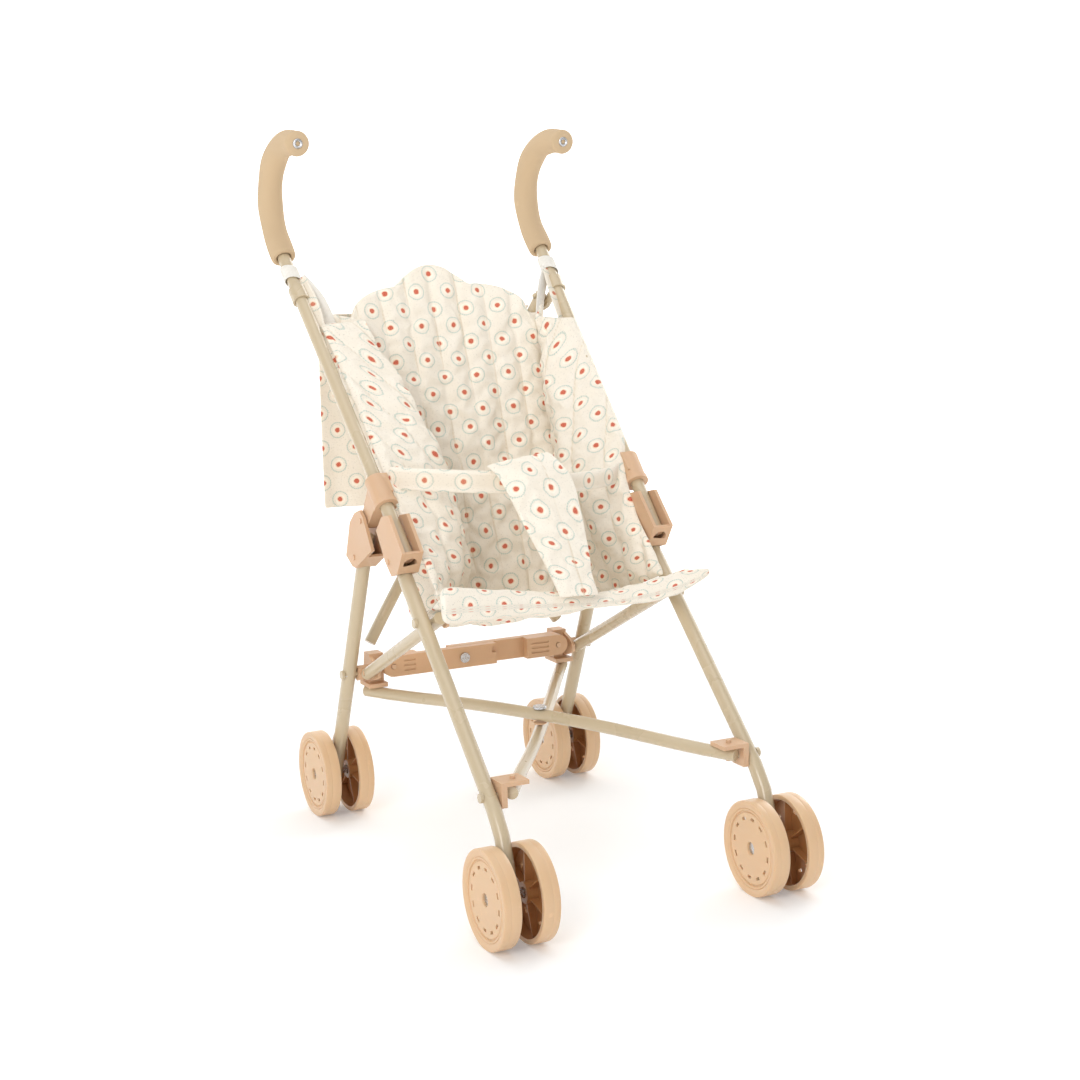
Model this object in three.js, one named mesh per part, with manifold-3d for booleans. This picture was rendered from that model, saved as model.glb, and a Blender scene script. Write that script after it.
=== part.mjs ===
// Doll stroller that folds like an umbrella. Millimetres, +Z up, the seat faces -Y.
// Side geometry is given as [y, z] pairs in a vertical plane; x is the distance from the middle.
import * as THREE from 'three';
import { mergeVertices } from 'three/addons/utils/BufferGeometryUtils.js';
import Module from 'manifold-3d';

const wasm = await Module();
wasm.setup();

// ---------------------------------------------------------------- driving dimensions
const wheelSegments = 24;
const wheelRadius = 35;
const treadApothem = wheelRadius * Math.cos(Math.PI / wheelSegments);
const wheelWidth = 13;
const wheelWindows = 12;
const wheelOffset = 14.4;
const legRadius = 5.5;
const pushRadius = 5.2;
const railRadius = 4.9;
const braceRadius = 4.75;
const gap = 0.3;
const boltRadius = 2;
const boltBore = 2.3;
const boltHead = { from: 5, to: 7.5, radius: 3.6 };
const rivetRadius = 2.2;
const rivetBore = 2.5;
const axleBore = 3.3;
const gripRadius = 10;
const gripClearance = 0.6;
const sleeveWall = 3.4;

const legX = 105;
const gripX = 116.5;
const frontAxle = [-175, treadApothem];
const rearAxle = [165.5, treadApothem];
const legTop = [9.4, 239.5];
const legBend = [-162.5, 77.6];
const rearLegTop = [71, 246.5];
const pushEnd = [-10.5, 241.5];
const pushTop = [206, 457];
const gripEnd = [160, 546.5];
const seatPin = [-35.5, 197.4];
const railRearPin = [108, 129];
const rearBracketPin = [123, 126];
const frontBracketPin = [-143.8, 95.2];
const cradlePin = [7.2, 236.4];
const rearJointPin = [62, 260];
const rearJointRivet = [79.4, 229];
const backPanelTop = [178, 432];
const backPanelFoot = [88, 165];

// Middle of the whole outline, fore and aft; the origin is put below it.
const outlineMiddleY = 17.3;

const jointHalfGap = 5.9;
const jointWall = 2.6;
const braceRearX = 86;
const braceFrontX = 87;
const braceTopX = 100;
const backBraceFootX = 85;
const braceTip = 6;
const baseBraceRear = [124, 109];
const baseBraceFront = [-143.6, 97.2];
const lockPivot = [74, 112, 132];
const lockHalfHeight = 8.5;
const backBraceTop = new THREE.Vector3(braceTopX, 180.2, 416);
const backBraceDown = new THREE.Vector3(0, -52.2, -267.5);
const backCrossNormal = new THREE.Vector3(0, -backBraceDown.z, backBraceDown.y).normalize();
const backBraceOpen = new THREE.Vector3(-185, -52.2, -267.5);
const backBraceFolded = new THREE.Vector3(-69, -244.6, -208.9);
const backPinAxis = backBraceFolded.clone().cross(backBraceOpen).normalize();

// ---------------------------------------------------------------- materials
const tubePaint = { color: 0xcdb894, roughness: 0.42, metalness: 0.1 };
const plasticTan = { color: 0xdbb598, roughness: 0.5, metalness: 0 };
const lockPlastic = { color: 0xc89b78, roughness: 0.55, metalness: 0 };
const wheelPlastic = { color: 0xdeba96, roughness: 0.45, metalness: 0 };
const gripFoam = { color: 0xcdb68f, roughness: 0.9, metalness: 0 };
const steel = { color: 0xc4c6c8, roughness: 0.3, metalness: 1 };
const cotton = { color: 0xf5eee1, roughness: 0.95, metalness: 0 };
const tape = { color: 0xf3efe6, roughness: 0.95, metalness: 0 };

// ---------------------------------------------------------------- small helpers
const at = (x, [y, z]) => new THREE.Vector3(x, y, z);

function alongPair([ay, az], [by, bz], t) {
  return [ay + (by - ay) * t, az + (bz - az) * t];
}

function toSolid(geometry) {
  const bare = geometry.index ? geometry.toNonIndexed() : geometry.clone();
  bare.deleteAttribute('normal');
  bare.deleteAttribute('uv');
  const merged = mergeVertices(bare, 1e-4);
  const mesh = new wasm.Mesh({
    numProp: 3,
    vertProperties: new Float32Array(merged.attributes.position.array),
    triVerts: new Uint32Array(merged.index.array),
  });
  return new wasm.Manifold(mesh);
}

function toGeometry(solid) {
  const mesh = solid.getMesh();
  const geometry = new THREE.BufferGeometry();
  geometry.setAttribute('position', new THREE.BufferAttribute(mesh.vertProperties, 3));
  geometry.setIndex(new THREE.BufferAttribute(mesh.triVerts, 1));
  geometry.computeVertexNormals();
  return geometry;
}

const join = (first, ...others) => others.reduce((sum, next) => sum.add(next), first);
const cut = (first, ...others) => others.reduce((rest, next) => rest.subtract(next), first);

function piece(name, geometry, material) {
  const mesh = new THREE.Mesh(geometry, new THREE.MeshStandardMaterial(material));
  mesh.name = name;
  return mesh;
}

// The same piece on both sides: the left one at +X and its mirror image at -X.
function pair(name, geometry, material) {
  const left = piece(`${name}_left`, geometry, material);
  const right = piece(`${name}_right`, geometry.clone(), material);
  right.scale.x = -1;
  return [left, right];
}

// Round bar along a path.
function bar(path, radius, steps, sides = 16) {
  const circle = new THREE.Shape();
  circle.absarc(0, 0, radius, 0, Math.PI * 2, false);
  return new THREE.ExtrudeGeometry(circle, {
    steps, extrudePath: path, bevelEnabled: false, curveSegments: sides / 2,
  });
}

// Straight round bar between two points.
function rod(from, to, radius, sides = 12) {
  const length = from.distanceTo(to);
  const geometry = new THREE.CylinderGeometry(radius, radius, length, sides);
  const direction = to.clone().sub(from).normalize();
  geometry.applyQuaternion(new THREE.Quaternion().setFromUnitVectors(new THREE.Vector3(0, 1, 0), direction));
  const middle = from.clone().add(to).multiplyScalar(0.5);
  return geometry.translate(middle.x, middle.y, middle.z);
}

// Pin along X through a side point.
const crossPin = (side, x0, x1, radius, sides = 8) => rod(at(x0, side), at(x1, side), radius, sides);

// Hole right through a leg.
const legHole = (side, radius) => toSolid(crossPin(side, legX - 9, legX + 9, radius));

// Bolt that starts `inside` millimetres inwards of a leg's middle and has its head on the outside.
function legBolt(side, inside) {
  const shank = toSolid(crossPin(side, legX - inside, legX + boltHead.to, boltRadius));
  const head = toSolid(crossPin(side, legX + boltHead.from, legX + boltHead.to, boltHead.radius));
  return join(shank, head);
}

function box(x0, x1, y0, y1, z0, z1) {
  const geometry = new THREE.BoxGeometry(x1 - x0, y1 - y0, z1 - z0);
  return geometry.translate((x0 + x1) / 2, (y0 + y1) / 2, (z0 + z1) / 2);
}

function shapeOf(points) {
  const shape = new THREE.Shape();
  shape.moveTo(...points[0]);
  points.slice(1).forEach((p) => shape.lineTo(...p));
  shape.closePath();
  return shape;
}

// Flat plate drawn as a side outline and reaching from x0 to x1.
const sideways = new THREE.Matrix4().makeBasis(
  new THREE.Vector3(0, 1, 0), new THREE.Vector3(0, 0, 1), new THREE.Vector3(1, 0, 0));
function sidePlate(points, x0, x1) {
  const geometry = new THREE.ExtrudeGeometry(shapeOf(points), { depth: x1 - x0, bevelEnabled: false });
  return geometry.applyMatrix4(sideways).translate(x0, 0, 0);
}

// Path of straight runs with a soft corner at every inner point.
function bentPath(points, cornerLength) {
  const path = new THREE.CurvePath();
  let last = points[0];
  for (let i = 1; i < points.length - 1; i += 1) {
    const corner = points[i];
    const inward = corner.clone().sub(points[i - 1]).normalize().multiplyScalar(cornerLength);
    const outward = points[i + 1].clone().sub(corner).normalize().multiplyScalar(cornerLength);
    const start = corner.clone().sub(inward);
    const end = corner.clone().add(outward);
    path.add(new THREE.LineCurve3(last, start));
    path.add(new THREE.QuadraticBezierCurve3(start, corner, end));
    last = end;
  }
  path.add(new THREE.LineCurve3(last, points.at(-1)));
  return path;
}

// Pushed part of the way from a point along a direction.
const moved = (point, direction, distance) => point.clone().addScaledVector(direction, distance);

// ---------------------------------------------------------------- push tubes and grips
const pushDirection = at(gripX - legX, [pushTop[0] - pushEnd[0], pushTop[1] - pushEnd[1]]).normalize();
const pushBottom = at(legX, pushEnd);
const onPushTube = (distance) => moved(pushBottom, pushDirection, distance);
const alongPushTube = (from, to, radius, sides = 16) => toSolid(
  rod(onPushTube(from), onPushTube(to), radius, sides));
const gripStart = at(gripX, pushTop);

function gripPath(inset) {
  const hook = [pushTop, [226, 478.5], [234.5, 503], [227, 527], [208, 542.5], [184, 548]];
  const end = [gripEnd[0] + inset, gripEnd[1]];
  return new THREE.CatmullRomCurve3([...hook, end].map((p) => at(gripX, p)), false, 'centripetal');
}

function pushTubes() {
  const straight = bar(new THREE.LineCurve3(onPushTube(1.5), gripStart), pushRadius, 1);
  const hooked = bar(gripPath(9), pushRadius, 10, 10);
  const tube = join(toSolid(straight), toSolid(hooked));
  return pair('push_tube', toGeometry(tube), tubePaint);
}

function grips() {
  const bore = pushRadius + gripClearance;
  const outer = toSolid(bar(gripPath(0), gripRadius, 10, 18));
  const inner = toSolid(bar(gripPath(6), bore, 10, 10));
  const mouth = toSolid(rod(
    moved(gripStart, pushDirection, -3), moved(gripStart, pushDirection, 5), bore + 0.5));
  const seat = toSolid(rod(at(gripX, [159, 546.5]), at(gripX, [166, 547]), 6));
  return pair('grip', toGeometry(cut(outer, inner, mouth, seat)), gripFoam);
}

function gripPlugs() {
  const plug = rod(at(gripX, [159.6, 546.6]), at(gripX, [164, 546.9]), 5.6);
  return pair('grip_plug', plug, steel);
}

function tubeEndCaps() {
  const cap = alongPushTube(-1.2, 1.2, pushRadius);
  const hole = alongPushTube(-2, 0.4, 1.4, 8);
  return pair('tube_end_cap', toGeometry(cut(cap, hole)), plasticTan);
}

// Clamp round the push tube with a tongue down to the pin at the top of the rear leg.
function collars() {
  const sleeve = alongPushTube(48, 74, pushRadius + sleeveWall, 18);
  const rim = alongPushTube(48, 52, pushRadius + sleeveWall + 0.8, 18);
  const [py, pz] = rearJointPin;
  const aroundPin = [[py - 6, pz - 3], [py + 2, pz - 6.5], [py + 6.5, pz + 1], [py + 3, pz + 8]];
  const tongue = toSolid(sidePlate([...aroundPin, [50, 291], [38, 299], [25, 287]], legX - 5, legX + 5));
  const bore = alongPushTube(30, 90, pushRadius + gap);
  const eye = toSolid(crossPin(rearJointPin, legX - 8, legX + 8, 2.8));
  return pair('collar', toGeometry(cut(join(sleeve, rim, tongue), bore, eye)), plasticTan);
}

// ---------------------------------------------------------------- legs
function frontLegs() {
  const line = [at(legX, legTop), at(legX, legBend), at(legX, frontAxle)];
  const tube = toSolid(bar(bentPath(line, 16), legRadius, 14));
  const bolts = [legBolt(seatPin, 16.5), legBolt(frontBracketPin, 10.4)];
  const leg = cut(join(tube, ...bolts), legHole(cradlePin, rivetBore), legHole(frontAxle, axleBore));
  return pair('front_leg', toGeometry(leg), tubePaint);
}

function rearLegs() {
  const foot = alongPair(rearLegTop, rearAxle, 1.025);
  const tube = toSolid(bar(new THREE.LineCurve3(at(legX, rearLegTop), at(legX, foot)), legRadius, 1));
  const holes = [legHole(rearJointRivet, rivetBore), legHole(rearAxle, axleBore)];
  const leg = cut(join(tube, legBolt(rearBracketPin, 21)), ...holes);
  return pair('rear_leg', toGeometry(leg), tubePaint);
}

// Two cheeks joined by a floor and by pins that cross between them.
function cheekBracket(outline, floor, pins) {
  const inner = jointHalfGap;
  const outer = jointHalfGap + jointWall;
  const cheeks = [-1, 1].map((side) => toSolid(sidePlate(
    outline, legX + Math.min(side * inner, side * outer), legX + Math.max(side * inner, side * outer))));
  const base = toSolid(sidePlate(floor, legX - outer + 0.5, legX + outer - 0.5));
  const head = 0.9;
  const crossings = pins.map((pin) => toSolid(
    crossPin(pin, legX - outer - head, legX + outer + head, rivetRadius)));
  return join(cheeks[0], cheeks[1], base, ...crossings);
}

function frontJoints() {
  const outline = [[18, 269], [4, 272], [-21, 247], [-9.6, 229.9], [2, 226.5], [14, 236], [30, 257]];
  const floor = [[-20.6, 246.5], [-18.6, 247.6], [-9, 233.5], [-9.6, 229.9]];
  const tubeRoom = alongPushTube(-6, 60, pushRadius + gap);
  const bracket = cut(cheekBracket(outline, floor, [cradlePin]), tubeRoom);
  return pair('front_joint', toGeometry(bracket), plasticTan);
}

function rearJoints() {
  const outline = [[75, 264.5], [64, 268], [57, 263], [41, 240], [77, 221], [84, 221.5], [97, 228], [86, 256]];
  const floor = [[56, 234.3], [55, 232.6], [77, 221], [78, 223]];
  const trimmed = cut(
    cheekBracket(outline, floor, [rearJointPin, rearJointRivet]),
    toSolid(rod(at(legX, rearLegTop), at(legX, rearBracketPin), legRadius + gap, 16)));
  const rivet = toSolid(crossPin(rearJointRivet, legX - 7, legX + 7, rivetRadius));
  return pair('rear_joint', toGeometry(join(trimmed, rivet)), plasticTan);
}

// ---------------------------------------------------------------- seat rails and lower brackets
const railX = legX - legRadius - 0.5 - railRadius;

function seatRails() {
  const run = [seatPin[0] - railRearPin[0], seatPin[1] - railRearPin[1]];
  const length = Math.hypot(...run);
  const front = [seatPin[0] + (run[0] / length) * 8, seatPin[1] + (run[1] / length) * 8];
  const rear = [railRearPin[0] - (run[0] / length) * 5, railRearPin[1] - (run[1] / length) * 5];
  const tube = toSolid(bar(new THREE.LineCurve3(at(railX, front), at(railX, rear)), railRadius, 1));
  const frontBore = toSolid(crossPin(seatPin, railX - 9, railX + 9, boltBore));
  const rearBore = toSolid(crossPin(railRearPin, railX - 9, railX + 9, boltBore));
  return pair('seat_rail', toGeometry(cut(tube, frontBore, rearBore)), tubePaint);
}

// Clip on the inner end of the seat rail bolt.
function railClips() {
  const clip = toSolid(crossPin(seatPin, railX - railRadius - 3, railX - railRadius - gap, 6));
  const bore = toSolid(crossPin(seatPin, railX - railRadius - 4, railX, boltBore));
  return pair('rail_clip', toGeometry(cut(clip, bore)), plasticTan);
}

function rearBrackets() {
  const inner = braceRearX - 9;
  const body = toSolid(sidePlate(
    [[119.8, 116], [134, 114.5], [135.5, 120], [132, 141], [119.8, 141]], inner, 88.9));
  const boss = toSolid(crossPin(rearBracketPin, 88, legX - legRadius - gap, 6.2));
  const bore = toSolid(crossPin(rearBracketPin, legX - 22, legX, boltBore));
  const lug = toSolid(sidePlate(
    [[119, 119], [121, 139], [108, 135], [102.5, 131], [103, 125], [109, 122]], 86, 88.9));
  const railPin = toSolid(crossPin(railRearPin, 87, railX + railRadius, boltRadius));
  const flange = toSolid(box(inner - 1, 92, 113.5, 135, 114, 117.4));
  const [lockX, , lockZ] = lockPivot;
  const lockPin = toSolid(rod(
    new THREE.Vector3(lockX, 103.4, lockZ), new THREE.Vector3(lockX, 122, lockZ), boltRadius));
  const lockLug = toSolid(box(lockX - 5, 80, 119.8, 124, lockZ - 7, lockZ + 7));
  const bracket = cut(join(body, boss, lug, flange, lockLug, lockPin, railPin), bore);
  return pair('rear_bracket', toGeometry(bracket), plasticTan);
}

function frontBrackets() {
  const plate = toSolid(box(78, 98, -152, -133, 102.6, 105.6));
  const wall = toSolid(sidePlate(
    [[-152, 88], [-136, 88], [-133, 105.6], [-152, 105.6]], 94.8, legX - legRadius - gap));
  const bore = toSolid(crossPin(frontBracketPin, 90, legX, boltBore));
  const onPin = (z) => new THREE.Vector3(braceFrontX, baseBraceFront[0], z);
  const pin = toSolid(rod(onPin(92.2), onPin(108), boltRadius));
  return pair('front_bracket', toGeometry(join(cut(join(plate, wall), bore), pin)), plasticTan);
}

// ---------------------------------------------------------------- cross braces
// A crossing tube keeps its end heights and bows by `bow` where the two meet.
function braceTube(from, to, bow) {
  const lift = (t, share) => from.clone().lerp(to, t).add(bow.clone().multiplyScalar(share));
  const points = [from, lift(0.1, 0.1), lift(0.36, 1), lift(0.64, 1), lift(0.9, 0.1), to];
  return bar(new THREE.CatmullRomCurve3(points, false, 'centripetal'), braceRadius, 13, 14);
}

function baseBraces() {
  const make = (side, bow) => {
    const rear = at(-side * braceRearX, baseBraceRear);
    const front = at(side * braceFrontX, baseBraceFront);
    const beyond = (end, other) => end.clone().sub(other).normalize().multiplyScalar(braceTip).add(end);
    const tube = toSolid(braceTube(beyond(rear, front), beyond(front, rear), new THREE.Vector3(0, 0, bow)));
    const bore = toSolid(rod(front.clone().setZ(85), front.clone().setZ(110), boltBore));
    return toGeometry(cut(tube, bore));
  };
  return [
    piece('base_brace_upper', make(1, 4.4), tubePaint),
    piece('base_brace_lower', make(-1, -7), tubePaint),
  ];
}

function baseCrossing() {
  const middle = new THREE.Vector3(0, -9.8, 0);
  const rise = (z) => middle.clone().setZ(z);
  const head = rod(rise(113.1), rise(115.3), 5.2, 16);
  const spacer = rod(rise(101.2), rise(102.4), 5.4, 16);
  return [piece('base_cross_screw', head, steel), piece('base_cross_spacer', spacer, plasticTan)];
}

function upperBrackets() {
  const sleeve = alongPushTube(258, 271, pushRadius + 1.9);
  const onPin = (reach) => moved(backBraceTop, backPinAxis, reach);
  const pin = toSolid(rod(onPin(-6.4), onPin(8), boltRadius));
  const disc = toSolid(rod(onPin(6.4), onPin(9.4), 5.4, 14));
  const web = toSolid(rod(onPin(10), onPushTube(262), 3.6));
  const bore = alongPushTube(240, 290, pushRadius + gap);
  return pair('upper_bracket', toGeometry(join(cut(join(sleeve, disc, web), bore), pin)), tubePaint);
}

function backBraces() {
  const make = (side, bow) => {
    const upper = backBraceTop.clone().setX(side * braceTopX);
    const lower = backBraceTop.clone().add(backBraceDown).setX(-side * backBraceFootX);
    const tip = moved(upper, upper.clone().sub(lower).normalize(), braceTip);
    const tube = toSolid(braceTube(lower, tip, backCrossNormal.clone().multiplyScalar(bow)));
    const skew = backPinAxis.clone().setX(side * backPinAxis.x);
    const bore = toSolid(rod(moved(upper, skew, -9), moved(upper, skew, 9), boltBore));
    return toGeometry(cut(tube, bore));
  };
  return [
    piece('back_brace_front', make(1, -6.2), tubePaint),
    piece('back_brace_rear', make(-1, 6.2), tubePaint),
  ];
}

function backCrossing() {
  const share = braceTopX / (braceTopX + backBraceFootX);
  const middle = moved(backBraceTop.clone().setX(0), backBraceDown, share);
  const out = (reach) => moved(middle, backCrossNormal, reach);
  return piece('back_cross_rivet', rod(out(-13.6), out(-11.7), 4.4, 14), steel);
}

// ---------------------------------------------------------------- lock bar
// Each half pivots on a rear bracket; the halves lap in front of and behind each other.
function lockBar() {
  const [pivotX, , pivotZ] = lockPivot;
  const low = pivotZ - lockHalfHeight;
  const high = pivotZ + lockHalfHeight;
  const front = [104.4, 111.4];
  const rear = [112.2, 119.2];
  const half = (side, fullFrom, lapTo, layer) => {
    const span = (a, b, y0, y1, z0, z1) => toSolid(box(
      Math.min(side * a, side * b), Math.max(side * a, side * b), y0, y1, z0, z1));
    const body = span(fullFrom, pivotX, front[0], rear[1], low, high);
    const lap = span(lapTo, fullFrom + 1, layer[0], layer[1], low, high);
    const onPivot = (y) => new THREE.Vector3(side * pivotX, y, pivotZ);
    const end = toSolid(rod(onPivot(front[0]), onPivot(rear[1]), lockHalfHeight, 20));
    const bore = toSolid(rod(onPivot(90), onPivot(130), boltBore));
    const grooves = [-4, 0, 4].map((z) => pivotZ + z).map(
      (z) => span(fullFrom + 4, pivotX - 9, 103, 105.2, z - 0.7, z + 0.7));
    return cut(join(body, lap, end), bore, ...grooves);
  };
  const slot = toSolid(box(13, 20, 103, 108, pivotZ + 1, pivotZ + 6));
  const onRivet = (y) => new THREE.Vector3(-12, y, pivotZ);
  return [
    piece('lock_bar_left', toGeometry(half(1, 45, -22, rear)), lockPlastic),
    piece('lock_bar_right', toGeometry(cut(half(-1, 51, -17, front), slot)), lockPlastic),
    piece('lock_rivet', rod(onRivet(102.2), onRivet(104.1), 4.2, 16), steel),
  ];
}

// ---------------------------------------------------------------- wheels
function wheelSolid() {
  const half = wheelWidth / 2;
  const profile = [
    [3.4, -half], [7.6, -half], [8, 2.4], [29, 2.4], [30, -half], [35, -half],
    [35, half - 1], [34, half], [31.4, half], [30.4, 5], [7, 5], [7, 1], [3.4, 1], [3.4, -half],
  ];
  const lathe = new THREE.LatheGeometry(profile.map(([r, a]) => new THREE.Vector2(r, a)), wheelSegments);
  lathe.rotateY(Math.PI / wheelSegments);
  const windows = [];
  for (let i = 0; i < wheelWindows; i += 1) {
    const slot = box(20.6, 23.8, 1, 7, -2.6, 2.6).rotateY((i * Math.PI * 2) / wheelWindows);
    windows.push(toSolid(slot));
  }
  return cut(toSolid(lathe), ...windows);
}

// The lathe turns about Y; a quarter turn lays that axle along X, face outwards.
function wheels() {
  const geometry = toGeometry(wheelSolid());
  const meshes = [];
  for (const [end, axle] of [['front', frontAxle], ['rear', rearAxle]]) {
    for (const [side, sign] of [['left', 1], ['right', -1]]) {
      for (const [place, outward] of [['outer', 1], ['inner', -1]]) {
        const wheel = piece(`wheel_${end}_${side}_${place}`, geometry.clone(), wheelPlastic);
        const facing = sign * outward;
        wheel.rotation.z = (-facing * Math.PI) / 2;
        wheel.position.set(sign * (legX + outward * wheelOffset), ...axle);
        meshes.push(wheel);
      }
    }
  }
  return meshes;
}

function axles() {
  const reach = wheelOffset + 3.2;
  const neck = reach - 1.8;
  const profile = [[0, -reach], [5.4, -reach], [5.4, -neck], [3, -neck],
    [3, neck], [5.4, neck], [5.4, reach], [0, reach]];
  const lathe = new THREE.LatheGeometry(profile.map(([r, a]) => new THREE.Vector2(r, a)), 14);
  lathe.rotateZ(-Math.PI / 2);
  return [['front', frontAxle], ['rear', rearAxle]].flatMap(
    ([end, [y, z]]) => pair(`axle_${end}`, lathe.clone().translate(legX, y, z), steel));
}

// ---------------------------------------------------------------- fabric, as simple closed solids
const backRun = [backPanelTop[0] - backPanelFoot[0], backPanelTop[1] - backPanelFoot[1]];
const backLength = Math.hypot(...backRun);
const backUp = new THREE.Vector3(0, backRun[0] / backLength, backRun[1] / backLength);
const backOut = new THREE.Vector3(0, -backUp.z, backUp.y);
const backFrame = new THREE.Matrix4().makeBasis(new THREE.Vector3(1, 0, 0), backUp, backOut);

// Scalloped padded back: the outline is drawn across and up the sloping panel.
function seatBack() {
  const half = 92;
  const top = backLength;
  const shape = new THREE.Shape();
  shape.moveTo(-half, 0);
  shape.lineTo(half, 0);
  shape.lineTo(half, top - 24);
  shape.quadraticCurveTo(58, top + 16, 34, top - 2);
  shape.quadraticCurveTo(0, top + 34, -34, top - 2);
  shape.quadraticCurveTo(-58, top + 16, -half, top - 24);
  shape.closePath();
  const slab = new THREE.ExtrudeGeometry(shape, { depth: 7, bevelEnabled: false, curveSegments: 6 });
  slab.translate(0, 0, -3.5);
  slab.applyMatrix4(backFrame);
  slab.translate(0, backPanelFoot[0], backPanelFoot[1]);
  return piece('seat_back', slab, cotton);
}

function seatPan() {
  const top = [[-68, 222], [-60, 214], [-30, 203], [20, 190], [60, 176], [78, 172]];
  const bottom = [[78, 165], [58, 168], [20, 181], [-30, 194], [-62, 201], [-70, 208]];
  return piece('seat_pan', sidePlate([...top, ...bottom], -86, 86), cotton);
}

function sidePanels() {
  const outline = [[166, 410], [152, 398], [30, 276], [-10, 226], [-34, 214], [70, 184], [84, 180]];
  return pair('side_panel', sidePlate(outline, 92, 94.6), cotton);
}

function backFlap() {
  return piece('back_flap', box(-92, 92, 196, 199, 250, 408), cotton);
}

function waistStraps() {
  const outerEnd = new THREE.Vector3(91, 40, 292);
  const innerEnd = new THREE.Vector3(38, 4, 290);
  const band = shapeOf([[-7.5, -1.2], [7.5, -1.2], [7.5, 1.2], [-7.5, 1.2]]);
  const path = new THREE.LineCurve3(outerEnd, innerEnd);
  const geometry = new THREE.ExtrudeGeometry(band, { steps: 1, extrudePath: path, bevelEnabled: false });
  return pair('waist_strap', geometry, cotton);
}

function crotchStrap() {
  const back = [[-2, 316], [1, 282], [-16, 262], [-52, 232], [-60, 224]];
  const front = [[-62, 226], [-54, 234], [-19, 264], [-3, 284], [-4, 316]];
  return piece('crotch_strap', sidePlate([...back, ...front], -30, 30), cotton);
}

function tieLoops() {
  const center = onPushTube(286);
  const ring = alongPushTube(279, 293, 7.4);
  const bore = alongPushTube(270, 300, pushRadius + gap);
  const { x, y, z } = center;
  const tail = toSolid(box(x - 9, x - 5.8, y - 2, y + 8, z - 30, z + 2));
  return pair('tie_loop', toGeometry(cut(join(ring, tail), bore)), tape);
}

// ---------------------------------------------------------------- the whole stroller
const stroller = new THREE.Group();
stroller.name = 'doll_stroller';
stroller.position.y = -outlineMiddleY;
stroller.add(
  ...pushTubes(), ...grips(), ...gripPlugs(), ...tubeEndCaps(), ...collars(),
  ...frontLegs(), ...rearLegs(), ...frontJoints(), ...rearJoints(),
  ...seatRails(), ...railClips(), ...rearBrackets(), ...frontBrackets(),
  ...baseBraces(), ...baseCrossing(), ...upperBrackets(), ...backBraces(), backCrossing(),
  ...lockBar(),
  ...wheels(), ...axles(),
  seatBack(), seatPan(), ...sidePanels(), backFlap(), ...waistStraps(), crotchStrap(), ...tieLoops(),
);

export default stroller;
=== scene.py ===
# Doll stroller with a quilted seat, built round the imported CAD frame.
import math
import bmesh
import bpy
import numpy as np
from mathutils import Matrix, Vector, noise


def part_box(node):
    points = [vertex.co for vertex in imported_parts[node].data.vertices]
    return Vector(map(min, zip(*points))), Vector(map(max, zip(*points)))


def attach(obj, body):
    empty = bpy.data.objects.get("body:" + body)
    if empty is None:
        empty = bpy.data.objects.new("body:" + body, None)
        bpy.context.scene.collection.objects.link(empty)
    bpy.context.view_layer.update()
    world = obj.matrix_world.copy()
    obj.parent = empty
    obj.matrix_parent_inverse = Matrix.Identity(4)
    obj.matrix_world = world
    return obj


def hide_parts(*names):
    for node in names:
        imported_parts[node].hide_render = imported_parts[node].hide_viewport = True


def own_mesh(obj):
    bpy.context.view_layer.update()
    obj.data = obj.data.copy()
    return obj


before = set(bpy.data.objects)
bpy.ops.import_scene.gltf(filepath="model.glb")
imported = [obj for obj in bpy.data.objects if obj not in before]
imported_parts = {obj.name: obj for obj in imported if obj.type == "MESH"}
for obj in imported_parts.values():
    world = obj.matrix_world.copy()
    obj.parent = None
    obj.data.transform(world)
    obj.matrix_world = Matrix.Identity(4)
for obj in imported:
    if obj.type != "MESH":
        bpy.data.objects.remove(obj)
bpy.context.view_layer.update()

# ---------------------------------------------------------------- the frame's own places
# Shapes are written in millimetres about the design's datum; the front axle says where that lies.
MM = 0.001
FRONT_AXLE_Y = -175
SIDES = {"left": 1, "right": -1}


def middle(node):
    low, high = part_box(node)
    return (Vector(low) + Vector(high)) / 2


DATUM_Y = middle("axle_front_left").y - FRONT_AXLE_Y * MM
LEG_X = middle("front_leg_left").x / MM
GRIP_X = middle("grip_left").x / MM


def at(x, y, z):
    return Vector((x * MM, y * MM + DATUM_Y, z * MM))


# The push tube's axis, from its lower end to the mouth of the grip.
TUBE_LOW = Vector((105, -10.5, 241.5))
TUBE_HIGH = Vector((GRIP_X, 206, 457))


def on_tube(side, distance):
    """Point on a push tube's axis, that far up from its lower end, in millimetres."""
    point = TUBE_LOW + (TUBE_HIGH - TUBE_LOW).normalized() * distance
    return Vector((side * point.x, point.y, point.z))


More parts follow.
